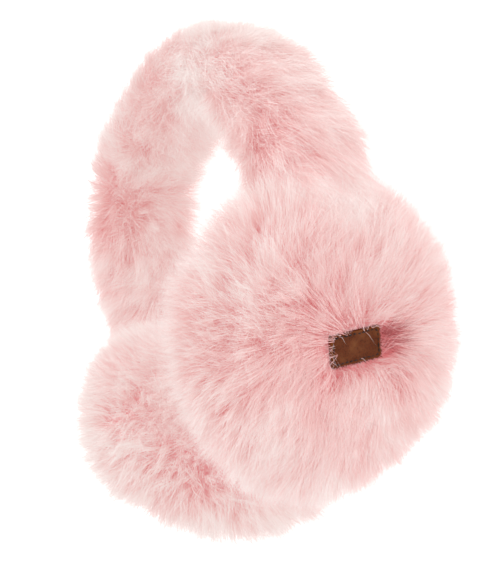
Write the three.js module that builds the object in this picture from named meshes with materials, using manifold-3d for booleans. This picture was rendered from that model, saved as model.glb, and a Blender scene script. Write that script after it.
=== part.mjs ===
// Fur earmuffs: two fur covered ear cups, a fur covered headband that bends round the head between them, and
// a leather label in a dimple at the middle of one cup.
// Lengths are millimetres and angles degrees. The earmuffs are modelled as they are worn: ears along X, face
// towards -Y or +Y alike, the headband's crown up. At the end they are turned to lie on one side, as they do
// when put down, on the rims of both cups and the edge of the headband's crown.

import * as THREE from 'three';
import { mergeVertices } from 'three/addons/utils/BufferGeometryUtils.js';
import Module from 'manifold-3d';

const wasm = await Module();
wasm.setup();
const { Manifold, Mesh } = wasm;

// Ear cups, over the tips of the fur
const CUP_DIAMETER = 130;
const CUP_THICKNESS = 64;
const CUP_ROUNDNESS = 2.42; // exponent of the cup's profile: 2 is an ellipse, more is squarer at the rim
const CUP_TILT = 32; // how far the outer face of a cup turns down
const CUP_GAP = 3.8; // between the lowest inner rims of the two cups, which nearly touch

// Headband, over the tips of the fur. Its arch is half a superellipse, measured along the middle of the band
const BAND_SPAN = 149;
const BAND_RISE = 84; // from the spring line to the crown
const BAND_SPRING_HEIGHT = 58; // of the spring line above the middles of the cups
const BAND_ARCH_ROUNDNESS = 2.6;
const BAND_WIDTH = 54; // from front to back
const BAND_THICKNESS = 38;
const BAND_ROUNDNESS = 2.3; // exponent of the band's section
const BAND_SEAT_DEPTH = 27; // how far the band's end reaches in from a cup's rim

// Fur: broad flat locks on a firm backing, combed over one another along the piece
const FUR_DEPTH = 10; // from the backing to the tips
const CUP_LOCK_PITCH = 19;
const BAND_LOCK_PITCH = 22;
const LOCK_WIDTH = 24; // at the root
const LOCK_THICKNESS = 12; // at the root
const LOCK_SWEEP = 20; // how far a lock leans over along the comb's way
const LOCK_SINK = 3; // of the root into the backing
const LOCK_SWELL = 0.8; // share by which a lock widens before it tapers to its tip

// Leather label
const LABEL_LENGTH = 24;
const LABEL_HEIGHT = 12.5;
const LABEL_THICKNESS = 2;
const LABEL_CORNER = 1; // radius of a corner
const LABEL_TURN = 6; // of the label round the cup's axis
const LABEL_DIMPLE_MARGIN = 7.2; // between a corner of the label and the nearest root of a lock

const CLEARANCE = 0.3; // between pieces that touch
const PRESSED_DEPTH = 2.5; // how far the fur gives way where the earmuffs rest

// Facets: sides round a piece, and steps along it
const CUP_SIDES = 26;
const CUP_STEPS = 12;
const BAND_SIDES = 12;
const BAND_STEPS = 22;
const LOCK_SIDES = 3;
const LOCK_STEPS = 2;
const LOCK_VARIATION = 0.22; // share by which the locks differ in length
const GOLDEN_SHARE = 0.618; // spreads the variation evenly over neighbours

const SURFACE_LEVEL = 1; // of a point on the surface of a cup or the headband, more outside it
const SLAB_SIZE = 1000; // wider than the earmuffs
const MERGE_DISTANCE = 1e-3;
const RADIANS = THREE.MathUtils.DEG2RAD;

const materials = {
  cup: new THREE.MeshStandardMaterial({ color: 0xf0bcbb, roughness: 0.95, metalness: 0 }),
  band: new THREE.MeshStandardMaterial({ color: 0xf1c6c4, roughness: 0.95, metalness: 0 }),
  label: new THREE.MeshStandardMaterial({ color: 0x683b26, roughness: 0.6, metalness: 0 }),
};

// A superellipse: the point at an angle, with the sign of each side kept
function superellipse(angle, halfWidth, halfHeight, exponent) {
  const reach = (share) => Math.sign(share) * Math.abs(share) ** (2 / exponent);
  return new THREE.Vector2(halfWidth * reach(Math.cos(angle)), halfHeight * reach(Math.sin(angle)));
}

// A closed geometry as a solid: shared corners merged, and the triangles that a pole closes up left out
function toSolid(geometry) {
  const bare = new THREE.BufferGeometry();
  bare.setAttribute('position', geometry.getAttribute('position').clone());
  bare.setIndex(geometry.index);
  const merged = mergeVertices(bare, MERGE_DISTANCE);
  const corners = [];
  for (let i = 0; i < merged.index.count; i += 3) {
    const [a, b, c] = [0, 1, 2].map((k) => merged.index.getX(i + k));
    if (a !== b && b !== c && c !== a) corners.push(a, b, c);
  }
  return new Manifold(new Mesh({
    numProp: 3,
    vertProperties: new Float32Array(merged.getAttribute('position').array),
    triVerts: new Uint32Array(corners),
  }));
}

function toGeometry(solid) {
  const mesh = solid.getMesh();
  const geometry = new THREE.BufferGeometry();
  geometry.setAttribute('position', new THREE.BufferAttribute(mesh.vertProperties, 3));
  geometry.setIndex(new THREE.BufferAttribute(mesh.triVerts, 1));
  geometry.computeVertexNormals();
  return geometry;
}

// The profile of a cup in its own frame, from the inner pole to the outer one, with the axis along Y
class CupProfile extends THREE.Curve {
  constructor(inset) {
    super();
    this.radius = CUP_DIAMETER / 2 - inset;
    this.halfThickness = CUP_THICKNESS / 2 - inset;
  }

  getPoint(share) {
    const angle = (share - 0.5) * Math.PI;
    return superellipse(angle, this.radius, this.halfThickness, CUP_ROUNDNESS);
  }
}

function cupShape(inset) {
  const points = new CupProfile(inset).getSpacedPoints(CUP_STEPS);
  points[0].x = 0;
  points[CUP_STEPS].x = 0;
  return new THREE.LatheGeometry(points, CUP_SIDES);
}

// How far out a point of a cup's own frame lies: SURFACE_LEVEL on the surface at this inset, less inside
function cupLevel(point, inset) {
  const profile = new CupProfile(inset);
  const radial = Math.hypot(point.x, point.z) / profile.radius;
  const axial = Math.abs(point.y) / profile.halfThickness;
  return (radial ** CUP_ROUNDNESS + axial ** CUP_ROUNDNESS) ** (1 / CUP_ROUNDNESS);
}

// How far a cup reaches from its middle along X, with its axis tilted by CUP_TILT
function cupReach() {
  const dual = CUP_ROUNDNESS / (CUP_ROUNDNESS - 1);
  const radial = (CUP_DIAMETER / 2) * Math.sin(CUP_TILT * RADIANS);
  const axial = (CUP_THICKNESS / 2) * Math.cos(CUP_TILT * RADIANS);
  return (radial ** dual + axial ** dual) ** (1 / dual);
}

// The place of a cup: side 1 has its outer pole towards +X, side -1 towards -X. Its own Y is the way out
function cupPlace(side) {
  const outward = new THREE.Vector3(side * Math.cos(CUP_TILT * RADIANS), 0, -Math.sin(CUP_TILT * RADIANS));
  const across = new THREE.Vector3(0, side, 0);
  const place = new THREE.Group();
  place.position.x = side * (cupReach() + CUP_GAP / 2);
  place.setRotationFromMatrix(new THREE.Matrix4().makeBasis(across, outward, across.clone().cross(outward)));
  place.updateMatrix();
  return place;
}

const cupPlaces = { right: cupPlace(1), left: cupPlace(-1) };

// The middle line of the headband, from inside the right cup over the crown to inside the left one
class BandArch extends THREE.Curve {
  constructor() {
    super();
    this.endAngle = this.seatAngle();
  }

  pointAt(angle) {
    const point = superellipse(angle, BAND_SPAN / 2, BAND_RISE, BAND_ARCH_ROUNDNESS);
    return new THREE.Vector3(point.x, 0, BAND_SPRING_HEIGHT + point.y);
  }

  // The arch runs on below its spring line until its end lies deep enough in the cup
  seatAngle() {
    const intoCup = cupPlaces.right.matrix.clone().invert();
    const seatRadius = CUP_DIAMETER / 2 - BAND_SEAT_DEPTH;
    const step = -0.01;
    let angle = 0;
    let end = this.pointAt(angle).applyMatrix4(intoCup);
    while (angle > -Math.PI / 2 && Math.hypot(end.x, end.z) > seatRadius) {
      angle += step;
      end = this.pointAt(angle).applyMatrix4(intoCup);
    }
    return angle;
  }

  getPoint(share) {
    return this.pointAt(this.endAngle + share * (Math.PI - 2 * this.endAngle));
  }
}

const bandArch = new BandArch();
const bandLength = bandArch.getLength();

// The section of the headband: X across the front and back, Y away from the head and towards it
class BandSection extends THREE.Curve {
  constructor(inset) {
    super();
    this.halfWidth = BAND_WIDTH / 2 - inset;
    this.halfThickness = BAND_THICKNESS / 2 - inset;
  }

  getPoint(share) {
    return superellipse(share * 2 * Math.PI, this.halfWidth, this.halfThickness, BAND_ROUNDNESS);
  }
}

function bandShape(inset) {
  const section = new THREE.Shape(new BandSection(inset).getSpacedPoints(BAND_SIDES).slice(0, BAND_SIDES));
  return new THREE.ExtrudeGeometry(section, { steps: BAND_STEPS, extrudePath: bandArch });
}

// The frame of the headband at a share of its length: along it, out from the head, and across it
function bandFrame(share) {
  const along = bandArch.getTangentAt(share);
  const across = new THREE.Vector3(0, 1, 0);
  return { middle: bandArch.getPointAt(share), out: across.clone().cross(along), across };
}

// A point on the headband's surface at this inset
function bandPoint(share, sectionShare, inset) {
  const { middle, out, across } = bandFrame(share);
  const offset = new BandSection(inset).getPointAt(sectionShare);
  return middle.addScaledVector(across, offset.x).addScaledVector(out, offset.y);
}

// How far out a point lies in the section of the headband nearest to it: SURFACE_LEVEL on the surface, less
// inside
function bandLevel(point) {
  const shares = Array.from({ length: BAND_STEPS + 1 }, (_, i) => i / BAND_STEPS);
  const frames = shares.map(bandFrame);
  const distances = frames.map((frame) => frame.middle.distanceTo(point));
  const nearest = frames[distances.indexOf(Math.min(...distances))];
  const offset = point.clone().sub(nearest.middle);
  const across = offset.dot(nearest.across) / (BAND_WIDTH / 2);
  const out = offset.dot(nearest.out) / (BAND_THICKNESS / 2);
  const along = offset.dot(nearest.out.clone().cross(nearest.across)) / (BAND_THICKNESS / 2);
  const powers = [across, out, along].map((part) => Math.abs(part) ** BAND_ROUNDNESS);
  return powers.reduce((sum, power) => sum + power) ** (1 / BAND_ROUNDNESS);
}

// A lock of fur: a flat cone bent along a line from its root under the backing, up and over to its tip
function furLock(root, up, tip) {
  const start = root.clone().addScaledVector(up, -LOCK_SINK);
  const turn = root.clone().addScaledVector(up, FUR_DEPTH / 2);
  const line = new THREE.QuadraticBezierCurve3(start, turn, tip);
  const cone = new THREE.ConeGeometry(1, 1, LOCK_SIDES, LOCK_STEPS);
  const corners = cone.getAttribute('position');
  const side = new THREE.Vector3().subVectors(tip, start).cross(up).normalize();
  for (let i = 0; i < corners.count; i += 1) {
    const share = corners.getY(i) + 0.5;
    const swell = (1 + LOCK_SWELL * share) / 2;
    const front = new THREE.Vector3().crossVectors(side, line.getTangent(share)).normalize();
    const corner = line.getPoint(share);
    corner.addScaledVector(side, corners.getX(i) * LOCK_WIDTH * swell);
    corner.addScaledVector(front, corners.getZ(i) * LOCK_THICKNESS * swell);
    corners.setXYZ(i, corner.x, corner.y, corner.z);
  }
  return cone;
}

// A share from 0 to 1 for the lock with this number, well spread over neighbours
const variation = (number) => (number * GOLDEN_SHARE) % 1;

const tipInset = (number) => LOCK_VARIATION * FUR_DEPTH * variation(number);

// The locks of a cup in its own frame, in rings from its dimple round the rim to the inner pole, and combed
// that way
function cupLocks(bareRadius, isFree) {
  const backing = new CupProfile(FUR_DEPTH);
  const length = backing.getLength();
  const covered = 1 - bareRadius / length;
  const firstRing = bareRadius > 0 ? 0 : 0.5; // a ring stands on the edge of a dimple
  const rings = Math.round((covered * length) / CUP_LOCK_PITCH);
  const locks = [];
  for (let ring = 0; ring < rings; ring += 1) {
    const share = covered * (1 - (ring + firstRing) / rings);
    const point = backing.getPointAt(share);
    const slope = backing.getTangentAt(share);
    const count = Math.max(3, Math.round((2 * Math.PI * point.x) / CUP_LOCK_PITCH));
    const tipShare = Math.max(0, share - LOCK_SWEEP / length);
    for (let k = 0; k < count; k += 1) {
      const number = locks.length + ring;
      const angle = ((k + 0.5 * (ring % 2) + 0.3 * variation(number)) / count) * 2 * Math.PI;
      const round = (flat) => new THREE.Vector3(flat.x * Math.cos(angle), flat.y, flat.x * Math.sin(angle));
      const root = round(point);
      const up = round(new THREE.Vector2(slope.y, -slope.x));
      const tip = round(new CupProfile(tipInset(number)).getPointAt(tipShare));
      if (isFree(root)) locks.push(furLock(root, up, tip));
    }
  }
  return locks;
}

// The locks of the headband, in rings from the crown down to both ends, combed that way
function bandLocks(isFree) {
  const rings = Math.round(bandLength / BAND_LOCK_PITCH);
  const count = Math.round(new BandSection(FUR_DEPTH / 2).getLength() / BAND_LOCK_PITCH);
  const locks = [];
  for (let ring = 0; ring < rings; ring += 1) {
    const share = (ring + 0.5) / rings;
    const way = share < 0.5 ? -1 : 1;
    const tipShare = THREE.MathUtils.clamp(share + (way * LOCK_SWEEP) / bandLength, 0, 1);
    for (let k = 0; k < count; k += 1) {
      const number = locks.length + ring;
      const sectionShare = ((k + 0.5 * (ring % 2) + 0.3 * variation(number)) / count) % 1;
      const root = bandPoint(share, sectionShare, FUR_DEPTH);
      const up = bandPoint(share, sectionShare, 0).sub(root).normalize();
      const tip = bandPoint(tipShare, sectionShare, tipInset(number));
      if (isFree(root)) locks.push(furLock(root, up, tip));
    }
  }
  return locks;
}

// The turn that lays the earmuffs on one side: -Y up, and the crown let down until it is as low as the cups
function restAngle() {
  const reach = (geometry, matrix, down) => {
    const corners = geometry.getAttribute('position');
    let most = -Infinity;
    for (let i = 0; i < corners.count; i += 1) {
      const corner = new THREE.Vector3().fromBufferAttribute(corners, i).applyMatrix4(matrix);
      most = Math.max(most, corner.dot(down));
    }
    return most;
  };
  const cup = cupShape(0);
  const band = bandShape(0);
  const isLow = (tilt) => {
    const down = new THREE.Vector3(0, Math.cos(tilt), Math.sin(tilt));
    return reach(band, new THREE.Matrix4(), down) > reach(cup, cupPlaces.right.matrix, down);
  };
  let [low, high] = [0, Math.PI / 4];
  const halvings = 30;
  for (let i = 0; i < halvings; i += 1) {
    const middle = (low + high) / 2;
    if (isLow(middle)) high = middle;
    else low = middle;
  }
  const lowest = new THREE.Vector3(0, Math.cos(low), Math.sin(low));
  return { tilt: low, depth: reach(cup, cupPlaces.right.matrix, lowest) };
}

const rest = restAngle();

const down = new THREE.Vector3(0, Math.cos(rest.tilt), Math.sin(rest.tilt));

// A slab that fills the space below the floor, in the frame of the worn earmuffs
function floorSlab() {
  const slab = new THREE.BoxGeometry(SLAB_SIZE, SLAB_SIZE, SLAB_SIZE);
  const middle = down.clone().multiplyScalar(rest.depth - PRESSED_DEPTH + SLAB_SIZE / 2);
  slab.applyMatrix4(new THREE.Matrix4().makeRotationX(rest.tilt));
  slab.translate(middle.x, middle.y, middle.z);
  return toSolid(slab);
}

// The fur round a piece: its locks on the backing, and the backing moved down to the floor once more as the
// mat into which the fur is pressed where it rests
function furPiece(backing, locks) {
  const mat = backing.clone().translate(down.x * FUR_DEPTH, down.y * FUR_DEPTH, down.z * FUR_DEPTH);
  return Manifold.union([backing, mat, ...locks].map(toSolid)).subtract(floorSlab());
}

// A cup, in the frame of the worn earmuffs, with a seat for the headband's fur
function cupSolid(place, bareRadius) {
  const isFree = (root) => bandLevel(root.clone().applyMatrix4(place.matrix)) > SURFACE_LEVEL;
  const placed = (geometry) => geometry.applyMatrix4(place.matrix);
  const backing = placed(cupShape(FUR_DEPTH));
  const fur = furPiece(backing, cupLocks(bareRadius, isFree).map(placed));
  return fur.subtract(toSolid(bandShape(-CLEARANCE))).add(toSolid(backing));
}

// The headband, seated on the backings of both cups, with its fur kept inside its outline
function bandSolid() {
  const places = Object.values(cupPlaces);
  const intoCups = places.map((place) => place.matrix.clone().invert());
  const levelIn = (matrix, root) => cupLevel(root.clone().applyMatrix4(matrix), FUR_DEPTH);
  const isFree = (root) => intoCups.every((matrix) => levelIn(matrix, root) > SURFACE_LEVEL);
  const band = furPiece(bandShape(FUR_DEPTH), bandLocks(isFree)).intersect(toSolid(bandShape(0)));
  const inCups = places.map((place) => toSolid(cupShape(FUR_DEPTH - CLEARANCE).applyMatrix4(place.matrix)));
  return band.subtract(Manifold.union(inCups));
}

// The label: a flat strip of leather with rounded corners, its back on the cup's backing at the outer pole
function labelGeometry() {
  const [right, top] = [LABEL_LENGTH / 2, LABEL_HEIGHT / 2];
  const outline = new THREE.Shape();
  outline.absarc(right - LABEL_CORNER, top - LABEL_CORNER, LABEL_CORNER, 0, Math.PI / 2);
  outline.absarc(LABEL_CORNER - right, top - LABEL_CORNER, LABEL_CORNER, Math.PI / 2, Math.PI);
  outline.absarc(LABEL_CORNER - right, LABEL_CORNER - top, LABEL_CORNER, Math.PI, 1.5 * Math.PI);
  outline.absarc(right - LABEL_CORNER, LABEL_CORNER - top, LABEL_CORNER, 1.5 * Math.PI, 2 * Math.PI);
  const sheet = new THREE.ExtrudeGeometry(outline, {
    depth: LABEL_THICKNESS,
    bevelEnabled: false,
    curveSegments: 3,
  });
  return toGeometry(toSolid(sheet));
}

function named(name, geometry, material) {
  const mesh = new THREE.Mesh(geometry, material);
  mesh.name = name;
  return mesh;
}

function labelMesh() {
  const mesh = named('leather_label', labelGeometry(), materials.label);
  mesh.rotation.set(-Math.PI / 2, LABEL_TURN * RADIANS, 0, 'YXZ');
  mesh.position.y = CUP_THICKNESS / 2 - FUR_DEPTH + CLEARANCE;
  return mesh;
}

function buildEarmuffs() {
  const labelReach = Math.hypot(LABEL_LENGTH, LABEL_HEIGHT) / 2;
  const worn = new THREE.Group();
  const labelledCup = cupSolid(cupPlaces.right, labelReach + LABEL_DIMPLE_MARGIN);
  worn.add(named('ear_cup_with_label', toGeometry(labelledCup), materials.cup));
  worn.add(named('ear_cup_plain', toGeometry(cupSolid(cupPlaces.left, 0)), materials.cup));
  worn.add(named('headband', toGeometry(bandSolid()), materials.band));
  worn.add(cupPlaces.right.add(labelMesh()));
  worn.rotation.x = -Math.PI / 2 - rest.tilt;
  worn.position.z = rest.depth - PRESSED_DEPTH;

  const earmuffs = new THREE.Group();
  earmuffs.add(worn);
  earmuffs.updateMatrixWorld(true);
  const middle = new THREE.Box3().setFromObject(earmuffs, true).getCenter(new THREE.Vector3());
  worn.position.x -= middle.x;
  worn.position.y -= middle.y;
  return earmuffs;
}

export default buildEarmuffs();
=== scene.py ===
"""Fur earmuffs: two fur covered ear cups, a fur covered headband and a leather label in the fur of one cup.

Lengths are metres. Shapes are worked out as the earmuffs are worn, with the ears along X and the crown up, and
are then laid down on one side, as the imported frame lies.
"""

import math

import bpy
import numpy as np
from bpy.props import FloatProperty, FloatVectorProperty, PointerProperty
from mathutils import Matrix, Vector


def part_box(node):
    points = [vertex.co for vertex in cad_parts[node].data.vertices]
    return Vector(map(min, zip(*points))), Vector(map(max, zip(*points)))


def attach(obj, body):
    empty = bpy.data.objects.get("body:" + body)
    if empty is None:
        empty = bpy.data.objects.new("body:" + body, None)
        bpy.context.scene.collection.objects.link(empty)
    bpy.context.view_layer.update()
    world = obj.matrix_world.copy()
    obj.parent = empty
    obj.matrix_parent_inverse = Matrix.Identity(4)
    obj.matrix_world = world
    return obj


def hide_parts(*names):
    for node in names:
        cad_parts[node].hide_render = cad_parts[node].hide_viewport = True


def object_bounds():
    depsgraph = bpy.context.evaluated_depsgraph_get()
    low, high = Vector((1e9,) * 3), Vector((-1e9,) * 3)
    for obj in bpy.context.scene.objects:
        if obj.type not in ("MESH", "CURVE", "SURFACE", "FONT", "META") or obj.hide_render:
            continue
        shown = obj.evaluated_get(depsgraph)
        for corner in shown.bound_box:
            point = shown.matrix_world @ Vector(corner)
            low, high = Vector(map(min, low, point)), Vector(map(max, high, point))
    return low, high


bl_info = {
    "name": "Fur Earmuffs",
    "version": (1, 0, 0),
    "blender": (4, 5, 0),
    "location": "View3D > Sidebar > Earmuffs",
    "description": "Builds furry earmuffs with a leather label, and the stage they lie on",
    "category": "Object",
}

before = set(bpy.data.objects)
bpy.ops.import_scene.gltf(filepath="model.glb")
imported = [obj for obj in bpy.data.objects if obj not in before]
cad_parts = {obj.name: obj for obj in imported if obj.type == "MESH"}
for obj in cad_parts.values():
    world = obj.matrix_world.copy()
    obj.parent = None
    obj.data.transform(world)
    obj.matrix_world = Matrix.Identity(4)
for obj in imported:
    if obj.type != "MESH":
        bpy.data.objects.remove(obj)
cad_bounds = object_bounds()

PROFILE_POINTS = 1200  # of a table that measures a profile's length
ARCH_POINTS = 4000
NEAREST_POINTS = 160  # of the headband's middle line, for finding the nearest one
OUTLINE_POINTS = 200  # of the label's outline
STRAND_STEPS = np.array([0.0, 0.42, 1.0])  # shares of a strand's length at its rings
STRAND_TAPER = np.array([1.0, 0.85])  # share of its width at the rings before its tip
WIDTH_SPREAD, STRAY_WIDTH = (0.7, 1.25), 0.55  # shares of the usual width
FACING_SPREAD = 0.6  # how far strands turn from facing straight out
PRESS_SPREAD = (0.5, 1.2)  # shares of the height at which the floor presses
MAP_HALF_WIDTH, MAP_RIM = 0.006, 0.004  # of a strand in its own map, and of the map's empty rim
WHITE = (1, 1, 1, 1)

# Room that the strands keep to round the frame's box: a share of each side, and a length
ROOM_SHARE, ROOM = 0.03, 0.009

# Backings: rows and points round a row, and the lumps of the padding
CUP_GRID = (48, 96)
BAND_GRID = (140, 64)
LUMP_HEIGHT, LUMP_SIZE = 0.0007, 0.012

# Coats of fur of the cups: side, part, shares of the profile where it starts and ends, strands and seed
CUP_COATS = [(1, "outer", 0.5, 1.0, 64000, 11), (1, "inner", 0.0, 0.5, 44000, 12),
             (-1, "outer", 0.5, 1.0, 44000, 13), (-1, "inner", 0.0, 0.5, 50000, 14)]
CUP_LEAN = (0.25, 0.65)  # of a strand near its root and near its tip
# Swirls that turn the comb's way: angle in radians, size and seed
CUP_SWIRLS = [(0.40, 0.07, 0), (0.25, 0.025, 50)]
SEAT_LEVEL = 0.55  # of the headband, inside which a cup has no fur

# Coats of fur of the headband: part, shares of its length where it starts and ends, strands and seed
BAND_COATS = [("right", 0.0, 0.5, 62000, 21), ("left", 0.5, 1.0, 62000, 22)]
BAND_LEAN = (0.42, 0.80)
BAND_SWIRLS = [(0.35, 0.08, 71), (0.15, 0.03, 72)]
BAND_PARTING, BAND_PARTING_SIZE = 0.7, 0.06  # share of its length where the fur parts both ways
# Shares of the headband's length, and how much paler its fur is painted there: painted light
BAND_PALENESS = ([0.10, 0.20, 0.27, 0.33, 0.40, 0.50, 0.58, 0.68],
                 [0.02, 0.08, 0.38, 0.72, 0.42, 0.28, 0.46, 0.22])

# Clear of strands round the label: between its edge and the roots, and between its edge and any strand
LABEL_ROOT_MARGIN, LABEL_BARE_MARGIN = 0.0008, 0.0006
# The label's profile from the back round to the face: share of the way out from the middle, and share of the
# thickness. The rows of faces from the first to before the second of the edge rows are its cut edge.
LABEL_PROFILE = np.array([
    [0.35, 0], [0.7, 0], [0.95, 0], [0.985, 0.08], [1, 0.3], [1, 0.6], [0.99, 0.82], [0.97, 0.93],
    [0.93, 0.98], [0.88, 0.96], [0.85, 0.9], [0.82, 0.96], [0.75, 1.02], [0.6, 1.04], [0.4, 1.05], [0.2, 1.05]])
LABEL_EDGE_ROWS = (2, 8)
LABEL_FACE = 1.05  # height of its middle, as a share of its thickness
STITCH_FILL = (0.12, 0.88)  # shares of the pitch where a stitch starts and ends
STITCH_RINGS = np.array([0.06, 0.25, 0.5, 0.75, 0.94])
STITCH_SIDES = 8
FIBRES, FIBRE_WIDTH = 700, 0.0002
# Roots and tips of the hairs across the label, as shares of its half length and half height
HAIRS_ACROSS = np.array([[[0.25, 1.2], [0.77, -0.27]], [[-0.8, 1.05], [-0.45, 0.34]],
                         [[0.05, -0.7], [0.3, -1.1]]])
EDGE_HAIRS = 14
HAIR_HEIGHTS = (-0.2, 1.35, 1.25)  # of a hair's rings over the label's back, as shares of its thickness

# Key light: its place in the camera's axes, right, up and back, and its size
KEY_PLACE = (-0.90, 0.54, 0.54)
KEY_SIZE = 0.9


def colour_property(label, description, rgb):
    """A colour that a user can change, given as display values from 0 to 255."""
    return FloatVectorProperty(name=label, description=description, subtype="COLOR", size=3,
                               min=0, max=1, default=[linear(part) for part in rgb])


def linear(part):
    """The light that a display value from 0 to 255 stands for: a straight start, then a power of 2.4."""
    share = part / 255
    return share / 12.92 if share <= 0.04045 else ((share + 0.055) / 1.055) ** 2.4


def length_property(label, description, default):
    return FloatProperty(name=label, description=description, default=default, min=0, precision=4,
                         unit="LENGTH", subtype="DISTANCE")


def angle_property(label, description, degrees):
    return FloatProperty(name=label, description=description, default=math.radians(degrees),
                         subtype="ANGLE")


def share_property(label, description, default, most=1.0):
    return FloatProperty(name=label, description=description, default=default, min=0, max=most)


class EarCupSizes(bpy.types.PropertyGroup):
    """The ear cups, measured over the tips of their fur."""
    diameter: length_property("Diameter", "Of a cup across its face", 0.130)
    thickness: length_property("Thickness", "Of a cup from the head outwards", 0.064)
    roundness: share_property("Roundness", "Exponent of the profile: 2 is an ellipse", 2.42, 8)
    tilt: angle_property("Tilt", "How far the outer face turns down", 32)
    gap: length_property("Gap", "Between the lowest inner rims", 0.0038)


class HeadbandSizes(bpy.types.PropertyGroup):
    """The headband, measured over the tips of its fur."""
    span: length_property("Span", "Of the band's middle line from side to side", 0.149)
    rise: length_property("Rise", "From the spring line to the crown", 0.084)
    spring_height: length_property("Spring height", "Above the middles of the cups", 0.058)
    arch_roundness: share_property("Arch roundness", "Exponent of the arch", 2.6, 8)
    width: length_property("Width", "From front to back", 0.054)
    thickness: length_property("Thickness", "Away from the head", 0.038)
    roundness: share_property("Roundness", "Exponent of the section", 2.3, 8)
    seat_depth: length_property("Seat depth", "How far the end reaches in from a cup's rim", 0.027)


class FurSizes(bpy.types.PropertyGroup):
    """The strands of the fur."""
    depth: length_property("Depth", "From the backing to the tips", 0.010)
    strand_width: length_property("Strand width", "At the root", 0.0002)
    longest: length_property("Longest", "Length that no strand but a stray one passes", 0.024)
    tuft: length_property("Tuft", "Across a large tuft", 0.009)
    wisp: length_property("Wisp", "Across a small tuft", 0.0021)
    press: length_property("Press", "Height over the floor at which fur begins to be pressed", 0.003)
    stray_reach: length_property("Stray reach", "How far a stray hair passes the others", 0.009)
    stray_share: share_property("Stray share", "Of hairs that pass the others", 0.24)
    tuft_pull: share_property("Tuft pull", "Of a tip towards the middle of its large tuft", 0.08)
    wisp_pull: share_property("Wisp pull", "Of a tip towards the middle of its small tuft", 0.42)
    tuft_push: share_property("Tuft push", "Of a large tuft out of the comb's way", 0.14)
    wisp_push: share_property("Wisp push", "Of a small tuft out of the comb's way", 0.27)
    strand_push: share_property("Strand push", "Of a strand out of the comb's way", 0.17)
    unevenness: share_property("Unevenness", "Of the trimmed length of the fur", 0.18)
    cup_fluff: share_property("Cup fluff", "Share by which the cups' fur passes their outline", 0.06)
    band_fluff: share_property("Band fluff", "Share by which the band's fur passes its outline", 0.19)


class FurColours(bpy.types.PropertyGroup):
    """The colours of the fur."""
    root: colour_property("Root", "Of a strand where it leaves the backing", (192, 122, 124))
    middle: colour_property("Middle", "Of a strand half way", (202, 177, 175))
    tip: colour_property("Tip", "Of a strand at its tip", (206, 206, 204))
    backing: colour_property("Backing", "Of the cloth and underfur", (192, 122, 124))
    # Shade: tint of a painted shadow on the strands in the label's dimple
    shade: colour_property("Shade", "Tint of strands that lie in the label's dimple", (206, 190, 190))
    # Glow: painted light, an emission on the fur in place of light passed on through the strands
    glow: colour_property("Glow", "Tint of the light that strands hand on through each other", (236, 216, 215))
    glow_strength: share_property("Glow strength", "Of that light", 0.62)


class LabelSizes(bpy.types.PropertyGroup):
    """The leather label."""
    length: length_property("Length", "Along the label", 0.024)
    height: length_property("Height", "Across the label", 0.0125)
    thickness: length_property("Thickness", "Of the leather", 0.002)
    corner: length_property("Corner", "Radius of a corner", 0.001)
    turn: angle_property("Turn", "Of the label round the cup's axis", 6)
    clearance: length_property("Clearance", "Under the label", 0.0003)
    stitch_inset: length_property("Stitch inset", "From the edge to the seam", 0.0012)
    stitch_pitch: length_property("Stitch pitch", "From stitch to stitch", 0.0021)
    thread_width: length_property("Thread width", "Of the sewing thread", 0.0007)
    fray: length_property("Fray", "Of the fibres that stand out of the cut edge", 0.0012)
    leather: colour_property("Leather", "Of the leather's face", (94, 44, 17))
    worn_leather: colour_property("Raw edge", "Of the cut edge and the rubbed grain", (122, 72, 38))
    thread: colour_property("Thread", "Of the stitches", (34, 18, 13))


class StageSettings(bpy.types.PropertyGroup):
    """The floor, the light and the camera."""
    floor: colour_property("Floor", "Of the floor", (246, 246, 246))
    floor_size: length_property("Floor size", "Of a side of the floor", 12.0)
    sky: share_property("Sky", "Strength of the light from all round", 1.0, 10)
    key: FloatProperty(name="Key", description="Power of the key light", default=5.0, min=0, unit="POWER")
    floor_glow: share_property("Floor glow", "Of the table, which is lit from below", 0.7, 10)
    azimuth: angle_property("Azimuth", "Of the camera round the earmuffs", 76.73)
    elevation: angle_property("Elevation", "Of the camera above the horizon", 37.25)
    roll: angle_property("Roll", "Of the camera about its own line of sight", -112.32)
    distance: length_property("Distance", "Of the camera from its aim", 0.4852)
    aim: FloatVectorProperty(name="Aim", description="Point that the camera looks at", size=3,
                             subtype="XYZ", unit="LENGTH", default=(0.00599, -0.00461, 0.04762))
    lens: FloatProperty(name="Lens", description="Focal length", default=69.87, min=1, unit="CAMERA")


# Shapes


def superellipse(angle, half_width, half_height, exponent):
    """X is the half width times the cosine to the power 2 / exponent with its sign kept, and Y likewise with
    the half height and the sine."""
    def reach(part):
        return np.sign(part) * np.abs(part) ** (2 / exponent)
    return half_width * reach(np.cos(angle)), half_height * reach(np.sin(angle))


def superellipse_normal(x, y, half_width, half_height, exponent):
    """The way in which |x / half width|^exponent + |y / half height|^exponent grows fastest, as a unit."""
    across = np.sign(x) * (np.abs(x) / half_width) ** (exponent - 1) / half_width
    up = np.sign(y) * (np.abs(y) / half_height) ** (exponent - 1) / half_height
    size = np.hypot(across, up)
    return across / size, up / size


def unit(vectors):
    return vectors / np.maximum(np.linalg.norm(vectors, axis=-1, keepdims=True), 1e-12)


def length_along(points):
    """The length from the first point to each point of a line."""
    return np.concatenate([[0], np.cumsum(np.linalg.norm(np.diff(points, axis=0), axis=1))])


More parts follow.
